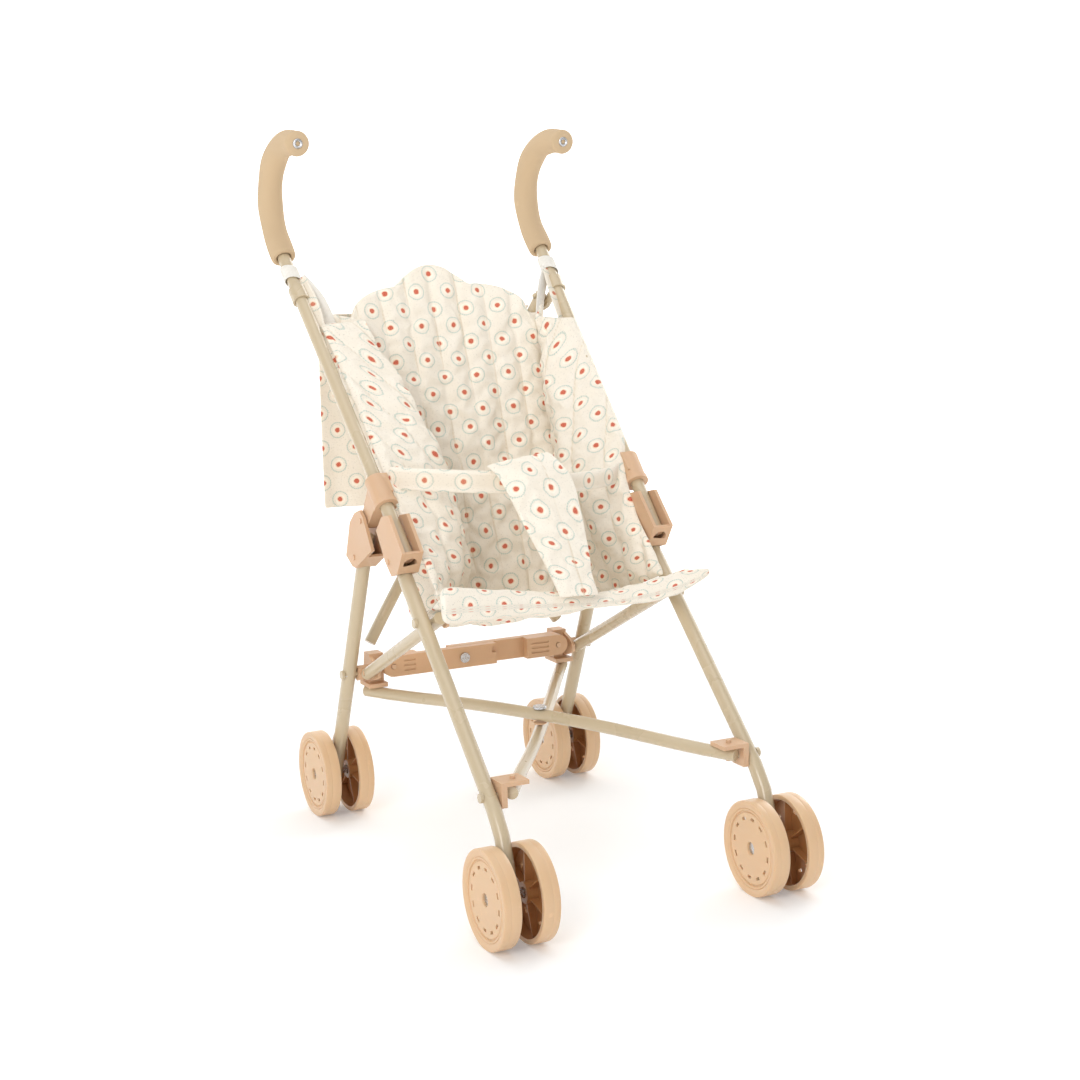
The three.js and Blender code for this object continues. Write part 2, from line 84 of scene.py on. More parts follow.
# ---------------------------------------------------------------- node helpers
class Shader:
    """A material and short names for the nodes that this scene uses."""

    def __init__(self, name):
        self.material = bpy.data.materials.new(name)
        self.material.use_nodes = True
        self.tree = self.material.node_tree
        self.surface = self.tree.nodes["Principled BSDF"]

    def add(self, kind, **settings):
        node = self.tree.nodes.new(kind)
        for key, value in settings.items():
            setattr(node, key, value)
        return node

    def put(self, socket, value):
        if isinstance(value, bpy.types.NodeSocket):
            self.tree.links.new(value, socket)
        else:
            socket.default_value = value

    def math(self, operation, *values):
        node = self.add("ShaderNodeMath", operation=operation)
        for socket, value in zip(node.inputs, values):
            self.put(socket, value)
        return node.outputs[0]

    def vector(self, operation, *values):
        node = self.add("ShaderNodeVectorMath", operation=operation)
        for socket, value in zip(node.inputs, values):
            self.put(socket, value)
        return node

    def scaled(self, vector, factor):
        node = self.add("ShaderNodeVectorMath", operation="SCALE")
        self.put(node.inputs[0], vector)
        self.put(node.inputs["Scale"], factor)
        return node.outputs[0]

    def ramp(self, value, start, end, low=0.0, high=1.0):
        """Value between start and end, smoothly, as low to high."""
        node = self.add("ShaderNodeMapRange", interpolation_type="SMOOTHSTEP")
        for socket, given in zip(node.inputs, (value, start, end, low, high)):
            self.put(socket, given)
        return node.outputs[0]

    def mix(self, share, first, second):
        node = self.add("ShaderNodeMix", data_type="RGBA")
        self.put(node.inputs[0], share)
        self.put(node.inputs[6], first)
        self.put(node.inputs[7], second)
        return node.outputs[2]

    def noise(self, vector, scale, detail=2.0, roughness=0.5):
        node = self.add("ShaderNodeTexNoise")
        self.put(node.inputs["Vector"], vector)
        self.put(node.inputs["Scale"], scale)
        self.put(node.inputs["Detail"], detail)
        self.put(node.inputs["Roughness"], roughness)
        return node.outputs[0]

    def uv(self, layer):
        return self.add("ShaderNodeUVMap", uv_map=layer).outputs[0]

    def place(self):
        return self.add("ShaderNodeTexCoord").outputs["Object"]

    def bump(self, height, distance, strength=1.0, under=None):
        node = self.add("ShaderNodeBump")
        self.put(node.inputs["Height"], height)
        self.put(node.inputs["Distance"], distance)
        self.put(node.inputs["Strength"], strength)
        if under is not None:
            self.put(node.inputs["Normal"], under)
        return node.outputs[0]

    def set(self, **sockets):
        for name, value in sockets.items():
            self.put(self.surface.inputs[name.replace("_", " ")], value)


def shade(colour, factor):
    return (*[min(1, c * factor) for c in colour[:3]], 1)


# ---------------------------------------------------------------- hard materials
def moulded(name, colour, roughness, grain, depth, coat=0.0, glow=0.0, mottle=0.06):
    """Paint, plastic or foam: mottled colour, uneven roughness and a fine surface grain."""
    s = Shader(name)
    place = s.place()
    patches = s.noise(place, 18, 4)
    fine = s.noise(place, grain, 3, 0.6)
    dark = shade(colour, 1 - mottle)
    light = shade(colour, 1 + mottle)
    wear = s.ramp(s.noise(place, 60, 5, 0.7), 0.62, 0.72)
    base = s.mix(patches, dark, light)
    s.set(Base_Color=s.mix(s.math("MULTIPLY", wear, 0.35), base, shade(colour, 1.25)))
    s.set(Roughness=s.ramp(patches, 0.3, 0.7, roughness - 0.06, roughness + 0.08))
    s.set(Normal=s.bump(fine, depth * MM, 0.5))
    s.surface.inputs["Coat Weight"].default_value = coat
    s.surface.inputs["Coat Roughness"].default_value = 0.2
    s.surface.inputs["Subsurface Weight"].default_value = glow
    s.surface.inputs["Subsurface Radius"].default_value = (0.006, 0.003, 0.0015)
    s.surface.inputs["Subsurface Scale"].default_value = 0.5
    return s.material


def steel():
    s = Shader("zinc steel")
    place = s.place()
    rubbed = s.noise(place, 900, 3, 0.7)
    s.set(Base_Color=s.mix(rubbed, (0.42, 0.43, 0.45, 1), (0.74, 0.74, 0.75, 1)))
    s.set(Roughness=s.ramp(rubbed, 0.3, 0.7, 0.18, 0.36))
    s.set(Normal=s.bump(rubbed, 0.03 * MM, 0.3))
    s.surface.inputs["Metallic"].default_value = 1.0
    return s.material


TUBE_PAINT = moulded("tube paint", (0.56, 0.455, 0.30), 0.3, 700, 0.05, coat=0.5)
BRACKET = moulded("bracket plastic", (0.66, 0.43, 0.265), 0.46, 1400, 0.06, glow=0.1)
WHEEL = moulded("wheel plastic", (0.72, 0.485, 0.285), 0.40, 1200, 0.05, coat=0.12, glow=0.15)
# Darker copy of the wheel plastic: painted shade inside the wheels' hollow backs and on their ribs.
WHEEL_HOLLOW_SHADE = moulded("wheel hollow painted shade", (0.46, 0.21, 0.075), 0.36, 1200, 0.05, coat=0.2, glow=0.15)
LOCK = moulded("lock plastic", (0.63, 0.385, 0.215), 0.44, 1200, 0.08, glow=0.1)
FOAM = moulded("grip foam", (0.585, 0.43, 0.265), 0.88, 2600, 0.35, mottle=0.04)
STEEL = steel()
# Near-black painted shade for screw socket floors and the insides of the eyelets' holes.
HOLE_SHADE = moulded("hole painted shade", (0.012, 0.011, 0.01), 0.7, 800, 0.05)

# ---------------------------------------------------------------- fabric materials
CREAM = (0.93, 0.87, 0.77, 1)
CREAM_SHADE = (0.86, 0.78, 0.65, 1)
PRINT_PITCH = (28, 29)
DOT_RADIUS = 1.9
HALO_RADIUS = 3.9
RING_RADIUS = 6.3
RING_BEADS = 26


def weave_height(s, flat):
    """Threads over and under each other, on a cloth laid out in millimetres."""
    parts = s.add("ShaderNodeSeparateXYZ")
    s.put(parts.inputs[0], flat)
    across = s.math("SINE", s.math("MULTIPLY", parts.outputs[0], 2 * math.pi / 0.9))
    along = s.math("SINE", s.math("MULTIPLY", parts.outputs[1], 2 * math.pi / 0.9))
    return s.math("MULTIPLY", across, along)


def medallion(s, flat, shift):
    """Masks of a dot, its pale disc and a beaded ring, repeated over the cloth."""
    wide, tall = PRINT_PITCH
    moved = s.vector("ADD", flat, (shift[0], shift[1], 0)).outputs[0]
    cell = s.vector("WRAP", moved, (wide / 2, tall / 2, 1), (-wide / 2, -tall / 2, -1)).outputs[0]
    parts = s.add("ShaderNodeSeparateXYZ")
    s.put(parts.inputs[0], cell)
    squares = [s.math("POWER", parts.outputs[k], 2) for k in (0, 1)]
    far = s.math("SQRT", s.math("ADD", *squares))
    uneven = s.math("MULTIPLY", s.math("SUBTRACT", s.noise(flat, 0.5, 2), 0.5), 1.4)
    far = s.math("ADD", far, uneven)
    angle = s.math("ARCTAN2", parts.outputs[1], parts.outputs[0])
    beads = s.ramp(s.math("SINE", s.math("MULTIPLY", angle, RING_BEADS)), -0.7, 0.5, 0.35, 1.0)
    dot = s.ramp(far, DOT_RADIUS - 0.3, DOT_RADIUS + 0.3, 1, 0)
    eye = s.ramp(s.math("ABSOLUTE", s.math("SUBTRACT", far, 0.9)), 0.15, 0.5, 1, 0)
    halo = s.ramp(far, HALO_RADIUS - 0.4, HALO_RADIUS + 0.5, 1, 0)
    blush = s.ramp(far, DOT_RADIUS + 0.1, DOT_RADIUS + 1.3, 1, 0)
    ring = s.ramp(s.math("ABSOLUTE", s.math("SUBTRACT", far, RING_RADIUS)), 0.25, 0.75, 1, 0)
    return dot, eye, halo, blush, s.math("MULTIPLY", ring, beads)


def printed_cotton():
    s = Shader("printed cotton")
    flat = s.scaled(s.uv("cloth"), 1 / MM)
    first = medallion(s, flat, (0, 0))
    second = medallion(s, flat, (PRINT_PITCH[0] / 2, PRINT_PITCH[1] / 2))
    dot, eye, halo, blush, ring = [s.math("MAXIMUM", a, b) for a, b in zip(first, second)]
    fleck = s.add("ShaderNodeTexVoronoi", voronoi_dimensions="2D")
    s.put(fleck.inputs["Vector"], flat)
    s.put(fleck.inputs["Scale"], 0.55)
    speck = s.math("MULTIPLY", s.ramp(fleck.outputs["Distance"], 0.10, 0.2, 1, 0),
                   s.ramp(s.noise(flat, 0.8, 2), 0.45, 0.6))
    colour = s.mix(s.noise(flat, 0.06, 3), CREAM_SHADE, CREAM)
    colour = s.mix(s.math("MULTIPLY", speck, 0.7), colour, (0.50, 0.46, 0.38, 1))
    colour = s.mix(s.math("MULTIPLY", ring, 0.8), colour, (0.42, 0.53, 0.47, 1))
    colour = s.mix(s.math("MULTIPLY", halo, 0.75), colour, (0.97, 0.92, 0.80, 1))
    colour = s.mix(s.math("MULTIPLY", blush, 0.55), colour, (0.90, 0.52, 0.28, 1))
    colour = s.mix(s.math("MULTIPLY", dot, 0.95), colour, (0.56, 0.075, 0.04, 1))
    colour = s.mix(s.math("MULTIPLY", s.math("MULTIPLY", eye, dot), 0.4), colour, (0.85, 0.33, 0.20, 1))
    seam = s.add("ShaderNodeSeparateXYZ")
    s.put(seam.inputs[0], s.scaled(s.uv("stitch"), 1 / MM))
    # Painted shade: the cloth is darkened in the valley along each quilting seam, where the padding dips.
    seam_valley_shade = s.ramp(seam.outputs[0], 0.1, 1.3, 1, 0)
    stitches = s.ramp(s.math("SINE", s.math("MULTIPLY", seam.outputs[1], 2 * math.pi / 3.2)), -0.3, 0.3)
    thread = s.math("MULTIPLY", s.ramp(seam.outputs[0], 0.25, 0.6, 1, 0), stitches)
    colour = s.mix(s.math("MULTIPLY", seam_valley_shade, 0.5), colour, (0.60, 0.46, 0.28, 1))
    colour = s.mix(s.math("MULTIPLY", thread, 0.35), colour, (0.95, 0.91, 0.82, 1))
    s.set(Base_Color=colour)
    creases = s.bump(s.noise(flat, 0.16, 5, 0.6), 1.4 * MM, 0.45)
    woven = s.bump(weave_height(s, flat), 0.12 * MM, 0.25, creases)
    s.set(Normal=s.bump(thread, 0.35 * MM, 0.6, woven))
    s.set(Roughness=s.ramp(s.noise(flat, 0.4), 0.3, 0.7, 0.86, 0.97))
    s.surface.inputs["Sheen Weight"].default_value = 0.12
    s.surface.inputs["Sheen Roughness"].default_value = 0.5
    s.surface.inputs["Specular IOR Level"].default_value = 0.25
    return s.material


def cotton_tape():
    s = Shader("cotton tape")
    flat = s.scaled(s.uv("cloth"), 1 / MM)
    threads = weave_height(s, flat)
    s.set(Base_Color=s.mix(s.noise(flat, 0.5, 3), (0.80, 0.76, 0.68, 1), (0.92, 0.895, 0.84, 1)))
    s.set(Roughness=s.ramp(threads, -1, 1, 0.85, 0.98))
    s.set(Normal=s.bump(threads, 0.2 * MM, 0.5))
    s.surface.inputs["Sheen Weight"].default_value = 0.1
    return s.material


COTTON = printed_cotton()
TAPE = cotton_tape()


# ---------------------------------------------------------------- mesh helpers
def new_piece(name, points, faces, materials):
    mesh = bpy.data.meshes.new(name)
    mesh.from_pydata([tuple(p) for p in points], [], faces)
    mesh.update()
    for material in materials:
        mesh.materials.append(material)
    mesh.polygons.foreach_set("use_smooth", [True] * len(mesh.polygons))
    piece = bpy.data.objects.new(name, mesh)
    bpy.context.scene.collection.objects.link(piece)
    return piece


def outward(piece):
    """Turns the faces of a closed piece outwards."""
    work = bmesh.new()
    work.from_mesh(piece.data)
    bmesh.ops.recalc_face_normals(work, faces=work.faces)
    work.to_mesh(piece.data)
    work.free()
    return piece


def rounded(piece):
    modifier = piece.modifiers.new("rounded", "SUBSURF")
    modifier.levels = 1
    modifier.render_levels = 1
    return piece


def welded(piece, sharp_degrees):
    """Joins the points that fall together, turns the faces outwards and marks the sharp edges."""
    work = bmesh.new()
    work.from_mesh(piece.data)
    bmesh.ops.remove_doubles(work, verts=work.verts, dist=1e-6)
    bmesh.ops.recalc_face_normals(work, faces=work.faces)
    work.to_mesh(piece.data)
    work.free()
    piece.data.set_sharp_from_angle(angle=math.radians(sharp_degrees))
    return piece


def write_uv(piece, layer, values):
    """One UV pair for each vertex of a piece."""
    uv = piece.data.uv_layers.new(name=layer)
    index = np.empty(len(piece.data.loops), int)
    piece.data.loops.foreach_get("vertex_index", index)
    uv.data.foreach_set("uv", np.asarray(values, float)[index].ravel())


def points_of(piece):
    return np.array([v.co for v in piece.data.vertices], float)


def curve_through(points, count):
    """Points at even steps of the parameter on a smooth curve through the given ones."""
    p = [np.array(q, float) for q in points]
    p = [2 * p[0] - p[1], *p, 2 * p[-1] - p[-2]]
    out = []
    for step in np.linspace(0, len(points) - 1, count):
        i = min(int(step), len(points) - 2)
        t = step - i
        a, b, c, d = p[i:i + 4]
        square = 2 * a - 5 * b + 4 * c - d
        cube = 3 * b - a - 3 * c + d
        out.append(0.5 * (2 * b + (c - a) * t + square * t**2 + cube * t**3))
    return out


def loft(name, rings, materials):
    """Skin over closed rings of equal size, with a fan over each end."""
    size = len(rings[0])
    points = [p for ring in rings for p in ring]
    faces = []
    for r in range(len(rings) - 1):
        for k in range(size):
            n = (k + 1) % size
            faces.append((r * size + k, r * size + n, (r + 1) * size + n, (r + 1) * size + k))
    for ring_index in (0, len(rings) - 1):
        points.append(np.mean([np.array(p) for p in rings[ring_index]], axis=0))
        hub = len(points) - 1
        base = ring_index * size
        faces += [(base + k, base + (k + 1) % size, hub) for k in range(size)]
    return outward(new_piece(name, points, faces, materials))


# Outline of a strap's section, in shares of its half width and half thickness.
STRAP_SECTION = [(-1, -0.6), (-0.6, -1), (0, -1.15), (0.6, -1), (1, -0.6), (1, 0.6), (0.6, 1), (0, 1.15),
                 (-0.6, 1), (-1, 0.6)]


def ribbon(name, path, width, across, thickness, material):
    """Flat strap along a path; its width lies along `across`."""
    half = width * MM / 2
    rings = []
    lengths = [0]
    for i, point in enumerate(path):
        before = Vector(path[max(i - 1, 0)])
        after = Vector(path[min(i + 1, len(path) - 1)])
        tangent = (after - before).normalized()
        wide = across[i] if isinstance(across, list) else across
        wide = (wide - tangent * wide.dot(tangent)).normalized()
        thin = wide.cross(tangent)
        thick = thickness * MM / 2
        rings.append([Vector(point) + wide * half * u + thin * thick * v for u, v in STRAP_SECTION])
        if i:
            lengths.append(lengths[-1] + (Vector(point) - Vector(path[i - 1])).length)
    piece = loft(name, rings, [material])
    flat = [(half * u, lengths[i]) for i in range(len(rings)) for u, _ in STRAP_SECTION]
    flat += [(0, 0), (0, lengths[-1])]
    write_uv(piece, "cloth", flat)
    edge = [(max(0, 0.0012 - abs(half - abs(u))) + 0.0008, b) for u, b in flat]
    write_uv(piece, "stitch", edge)
    return piece


# ---------------------------------------------------------------- sewn fabric
def wrinkle(point, size, seed):
    """Smooth noise in -1..1 at a place, for wrinkles of that size in metres."""
    return noise.noise(Vector(point) / size + Vector((seed, 2 * seed, 3 * seed)))


def quilted(name, middle_points, flat, channel, loft_mm, seed, back_share=0.45, edge_mm=5):
    """Padded cloth on a grid of middle points, sewn in channels of that width in millimetres.

    flat holds each point's place on the cut cloth, in metres. The front is the side that faces
    the way in which the grid's columns cross its rows.
    """
    grid = np.array(middle_points, float)
    cut = np.array(flat, float)
    rows, columns = grid.shape[:2]
    along = np.gradient(grid, axis=0)
    across = np.gradient(grid, axis=1)
    normal = np.cross(across, along)
    normal /= np.linalg.norm(normal, axis=2, keepdims=True)
    phase = (cut[..., 0] / MM / channel) % 1.0
    puff = np.sqrt(np.clip(1 - (2 * phase - 1) ** 2, 0, 1))
    i = np.minimum(np.arange(rows), np.arange(rows)[::-1])[:, None] * np.linalg.norm(along, axis=2)
    j = np.minimum(np.arange(columns), np.arange(columns)[::-1])[None, :] * np.linalg.norm(across, axis=2)
    edge = np.clip(np.minimum(i, j) / (edge_mm * MM), 0, 1)
    edge = np.sqrt(1 - (1 - edge) ** 2)
    height = (puff * loft_mm * edge + 0.5) * MM
    seam = np.minimum(phase, 1 - phase) * channel * MM
    points, uv, stitch = [], [], []
    for side, share in ((1, 1.0), (-1, back_share)):
        for r in range(rows):
            for c in range(columns):
                base = grid[r, c]
                pucker = wrinkle(base, 0.011, seed) * 0.7 + wrinkle(base, 0.03, seed + 5) * 1.3
                lift = side * height[r, c] * share + pucker * MM * edge[r, c]
                points.append(base + normal[r, c] * lift)
                uv.append(cut[r, c])
                stitch.append((seam[r, c], cut[r, c, 1]))
    count = rows * columns
    faces = []
    for r in range(rows - 1):
        for c in range(columns - 1):
            a = r * columns + c
            quad = (a, a + 1, a + columns + 1, a + columns)
            faces.append(quad)
            faces.append(tuple(count + k for k in reversed(quad)))
    rim = [*range(columns), *[r * columns + columns - 1 for r in range(1, rows)],
           *[(rows - 1) * columns + c for c in range(columns - 2, -1, -1)],
           *[r * columns for r in range(rows - 2, 0, -1)]]
    for a, b in zip(rim, rim[1:] + rim[:1]):
        faces.append((b, a, count + a, count + b))
    piece = outward(new_piece(name, points, faces, [COTTON]))
    write_uv(piece, "cloth", uv)
    write_uv(piece, "stitch", stitch)
    sewn = np.concatenate([((puff < 0.35) | (edge < 0.6)).ravel()] * 2)
    return piece, sewn


SETTLING_FRAMES = 20


def inflate(piece, sewn, pressure, cap_mm):
    """Lets the stuffing push the cloth out between its seams, and keeps the result."""
    rest = points_of(piece)
    group = piece.vertex_groups.new(name="sewn")
    group.add([int(k) for k in np.flatnonzero(sewn)], 1.0, "REPLACE")
    cloth = piece.modifiers.new("cloth", "CLOTH")
    settings = cloth.settings
    settings.vertex_group_mass = "sewn"
    settings.quality = 4
    settings.mass = 0.15
    settings.use_pressure = True
    settings.uniform_pressure_force = pressure
    settings.shrink_min = -0.05
    settings.bending_stiffness = 0.3
    settings.effector_weights.gravity = 0
    cloth.collision_settings.use_collision = False
    cloth.point_cache.frame_end = SETTLING_FRAMES
    scene = bpy.context.scene
    for step in range(1, SETTLING_FRAMES + 1):
        scene.frame_set(step)
    view = bpy.context.evaluated_depsgraph_get()
    moved = np.array([v.co for v in piece.evaluated_get(view).data.vertices], float)
    piece.modifiers.remove(cloth)
    scene.frame_set(1)
    shift = moved - rest
    length = np.linalg.norm(shift, axis=1, keepdims=True)
    cap = cap_mm * MM
    shift *= np.minimum(1, cap / np.maximum(length, 1e-9))
    piece.data.vertices.foreach_set("co", (rest + shift).ravel())
    piece.data.update()
    return piece


def sewn_to_frame(piece, *nodes):
    """The seat's cloth rides on the seat fabric's body; the CAD parts it stands for are hidden."""
    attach(piece, "seat_fabric")
    if nodes:
        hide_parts(*nodes)
    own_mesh(piece)
    return piece


# ---------------------------------------------------------------- the seat's cloth
BACK_FOOT = Vector((0, 88, 165))
BACK_TOP = Vector((0, 178, 432))
BACK_UP = (BACK_TOP - BACK_FOOT).normalized()
BACK_OUT = Vector((0, -BACK_UP.z, BACK_UP.y))
SHOULDER = 254
CHANNEL = 22.8
CREASES = {1: (80, 17), -1: (-55, -40)}
LOBE_MIDDLE = 2
LOBE_SPAN = 66
LOBE_FOOT = 283
LOBE_RISE = 17.5
SHOULDER_MIDDLE = 5
SHOULDER_START = 31
SHOULDER_REACH = 48
SHOULDER_RISE = 29


def crease_x(side, height):
    """Where the back panel meets a side panel, which is further in at the foot."""
    foot, spread = CREASES[side]
    return foot + spread * (height / SHOULDER) ** 0.6


def on_back(x, height):
    hollow = 5 * math.cos(max(-1, min(1, x / 95)) * math.pi / 2)
    point = BACK_FOOT + BACK_UP * height + BACK_OUT * -hollow
    return np.array((x, point.y, point.z))


def scallop(x):
    """Height of the back's top edge: a middle lobe and a lower one on each side."""
    from_lobe = (x - LOBE_MIDDLE) / LOBE_SPAN
    lobe = LOBE_FOOT + LOBE_RISE * math.cos(math.pi * from_lobe) if abs(from_lobe) < 0.5 else 0
    along = max(0, abs(x - SHOULDER_MIDDLE) - SHOULDER_START) / SHOULDER_REACH
    shoulder = SHOULDER + SHOULDER_RISE * math.sqrt(max(0, 1 - along**2))
    return max(lobe, shoulder)


def to_world(points):
    out = np.array(points, float) * MM
    out[..., 1] += DATUM_Y
    return out


def seat_back():
    columns = 73
    rows = 108
    points, flat = [], []
    for t in np.linspace(0, 1, rows):
        row, cut = [], []
        for s in np.linspace(-1, 1, columns):
            right, left = crease_x(-1, t * SHOULDER), crease_x(1, t * SHOULDER)
            x = right + (left - right) * (s + 1) / 2
            height = t * scallop(x)
            row.append(on_back(x, height))
            cut.append((x * MM, height * MM))
        points.append(row)
        flat.append(cut)
    piece, sewn = quilted("seat_back_quilt", to_world(points), flat, CHANNEL, 5.2, seed=1)
    inflate(piece, sewn, 3.0, 6)
    rounded(piece)
    sewn_to_frame(piece, "seat_back")


WING_HEIGHT = {1: 265, -1: 262}
# Lines up the inward fold of each side panel, from the seat to the wing.
PANEL_FOLDS = {
    1: [(88, 52, 178), (84, 57, 206), (76, 58, 236), (73, 64, 264), (73, 75, 288), (76, 92, 314),
        (79, 110, 339), (84, 132, 366), (92, 160, 403)],
    -1: [(-60, 45, 182), (-39, 44, 211), (-41, 41, 241), (-42, 55, 271), (-46, 78, 312), (-53, 102, 342),
         (-62, 129, 372), (-72, 159, 407)],
}
PANEL_FRONT_FOOT = [(93.5, -40, 213), (93.6, -24, 231), (96, 4, 253)]
# Height, distance inwards and distance forwards from the axis of the push tube.
PANEL_ON_TUBE = {
    1: [(283, 8.5, 4), (309, -1, 8), (338, -1, 8), (366, -1, 8), (401, -1, 8)],
    -1: [(283, 7, 4), (312, 7, 4), (342, 7, 4), (372, 7, 4), (405, 6, 4)],
}


def beside_tube(side, height, inwards, forwards):
    """Point at a height, that far inwards and forwards from the axis of a push tube."""
    run = TUBE_HIGH - TUBE_LOW
    point = TUBE_LOW + run * ((height - TUBE_LOW.z) / run.z)
    return (side * (point.x - inwards), point.y - forwards, height)


def side_edge(side):
    """Front edge of a side panel, from the seat's front corner up to the wing tip."""
    foot = [(side * x, y, z) for x, y, z in PANEL_FRONT_FOOT]
    return foot + [beside_tube(side, *place) for place in PANEL_ON_TUBE[side]]


def side_panel(name, side):
    """Padded wing: from the back's crease it folds inwards and then out to the push tube."""
    columns = 56
    rows = 100
    edge = curve_through(side_edge(side), rows)
    fold = curve_through(PANEL_FOLDS[side], rows)
    points, flat = [], []
    for r, t in enumerate(np.linspace(0, 1, rows)):
        height = t * WING_HEIGHT[side]
        start = on_back(crease_x(side, min(height, SHOULDER)), height)
        row = curve_through([start, fold[r], edge[r]], columns)
        steps = [np.linalg.norm(b - a) for a, b in zip(row, row[1:])]
        runs = np.concatenate([[0], np.cumsum(steps)])
        cut = [(side * (97 + run) * MM, (height - 18 * run / runs[-1]) * MM) for run in runs]
        points.append(row if side > 0 else row[::-1])
        flat.append(cut if side > 0 else cut[::-1])
    piece, sewn = quilted(name + "_quilt", to_world(points), flat, 27, 4.4, seed=7 + side, back_share=0.5)
    inflate(piece, sewn, 2.5, 5)
    rounded(piece)
    sewn_to_frame(piece, name)


def pan_profile(t):
    """Side line of the seat pan from the back's foot to the front lip."""
    line = [(90, 167), (62, 171), (20, 182), (-26, 195), (-62, 206)]
    y, z = curve_through(line, 101)[int(round(t * 100))]
    return y, z


def seat_pan():
    columns = 70
    rows = 60
    points, flat = [], []
    for t in np.linspace(0, 1, rows):
        y, z = pan_profile(t)
        half_left, half_right = [rear + (106 - rear) * t**0.7 for rear in (80, 55)]
        row, cut = [], []
        for s in np.linspace(-1, 1, columns):
            x = s * (half_left if s > 0 else half_right)
            rise = 13 * t * abs(s) ** 2.2
            row.append(np.array((x, y - 6 * t * abs(s) ** 2, z + rise)))
            cut.append((x * MM, (-t * 165) * MM))
        points.append(row)
        flat.append(cut)
    piece, sewn = quilted("seat_pan_quilt", to_world(points[::-1]), flat[::-1], CHANNEL, 3.4, seed=3)
    inflate(piece, sewn, 2.5, 5)
    rounded(piece)
    sewn_to_frame(piece, "seat_pan")


def front_hem():
    """The padded lip that hangs from the front of the pan, higher at its corners."""
    top = [(-106, 223), (-99, 228), (-62, 222), (-41, 216), (1, 209), (59, 216), (86, 220), (113, 221)]
    low = [(-106, 206), (-96, 202), (-56, 202), (1, 200), (55, 199), (83, 200), (100, 206), (114, 217)]
    stations = 90
    high_line = curve_through([(x, 0, z) for x, z in top], stations)
    low_line = curve_through([(x, 0, z) for x, z in low], stations)
    rings, flat = [], []
    sides = 20
    for k in range(stations):
        x = (high_line[k][0] + low_line[k][0]) / 2
        tall = (high_line[k][2] - low_line[k][2]) / 2
        centre = Vector((x, -64 - 9 * abs(x / 105) ** 2, (high_line[k][2] + low_line[k][2]) / 2))
        end = min(1, min(k, stations - 1 - k) / 5)
        thick = 4.4 * math.sqrt(max(0.05, 1 - (1 - end) ** 2))
        ring = []
        for a in np.linspace(0, 2 * math.pi, sides, endpoint=False):
            out = math.cos(a)
            up = math.sin(a)
            lean = 0.22 * (up * tall)
            deep = -thick * out * abs(out) ** -0.3 if out else 0
            high = up * abs(up) ** -0.2 * tall if up else 0
            point = centre + Vector((0, deep, high))
            point.y += lean
            pucker = wrinkle(point * MM, 0.009, 4) * 0.9 + wrinkle(point * MM, 0.03, 6) * 1.2
            point += Vector((0, -out, up)) * pucker * end
            ring.append(at(*point))
            flat.append((x * MM, a * 0.012))
        rings.append(ring)
    piece = loft("front_hem", rings, [COTTON])
    write_uv(piece, "cloth", flat + [(-0.1, 0), (0.1, 0)])
    write_uv(piece, "stitch", [(0.003 + 0.002 * abs(b / 0.012 - 1.57), a) for a, b in flat] + [(0.01, 0)] * 2)
    rounded(piece)
    sewn_to_frame(piece)


def crotch_strap():
    """Padded tongue from the lap strap down to the front lip."""
    left = [(-36, 303), (-31, 290), (-26, 268), (-22, 251), (-18, 235), (-14, 213)]
    right = [(18, 309), (26, 290), (24, 262), (20, 238), (17, 226), (17, 212)]
    rows = 56
    columns = 25
    line_left = curve_through([(x, 0, z) for x, z in left], rows)
    line_right = curve_through([(x, 0, z) for x, z in right], rows)
    points, flat = [], []
    for r, t in enumerate(np.linspace(0, 1, rows)):
        row, cut = [], []
        for s in np.linspace(0, 1, columns):
            x = line_left[r][0] * (1 - s) + line_right[r][0] * s
            z = line_left[r][2] * (1 - s) + line_right[r][2] * s
            y = -8 - (307 - z) * 0.74
            crown = 5.5 * math.sin(math.pi * s) * (1 - 0.5 * t)
            fold_over = 9 * max(0, 1 - t * 9) ** 2
            row.append(np.array((x, y - crown + fold_over, z + 0.3 * crown)))
            cut.append(((x - 4) * MM, -t * 0.12))
        points.append(row)
        flat.append(cut)
    piece, sewn = quilted("crotch_tongue", to_world(points[::-1]), flat[::-1], 140, 3.2, seed=9, edge_mm=7)
    inflate(piece, sewn, 3.0, 4)
    rounded(piece)
    sewn_to_frame(piece, "crotch_strap")


def waist_straps():
    """Lap strap: a flat cloth band on each side, from the side panel to the tongue."""
    ends = {
        "right": ([(-99, 36, 295), (-78, 16, 294), (-50, 2, 292), (-24, -5, 290), (-6, -6, 289)], 17.5),
        "left": ([(100, 38, 284), (80, 20, 283), (52, 5, 284), (28, -4, 285), (8, -6, 286)], 15),
    }
    for name, (line, width) in ends.items():
        path = [at(*p) for p in curve_through(line, 40)]
        wave = [p + Vector((0, 1, 0)) * wrinkle(p, 0.02, 11) * 1.2 * MM for p in path]
        piece = ribbon(f"waist_band_{name}", wave, width, Vector((0, 0, 1)), 2.2, COTTON)
        rounded(piece)
        sewn_to_frame(piece, f"waist_strap_{name}")


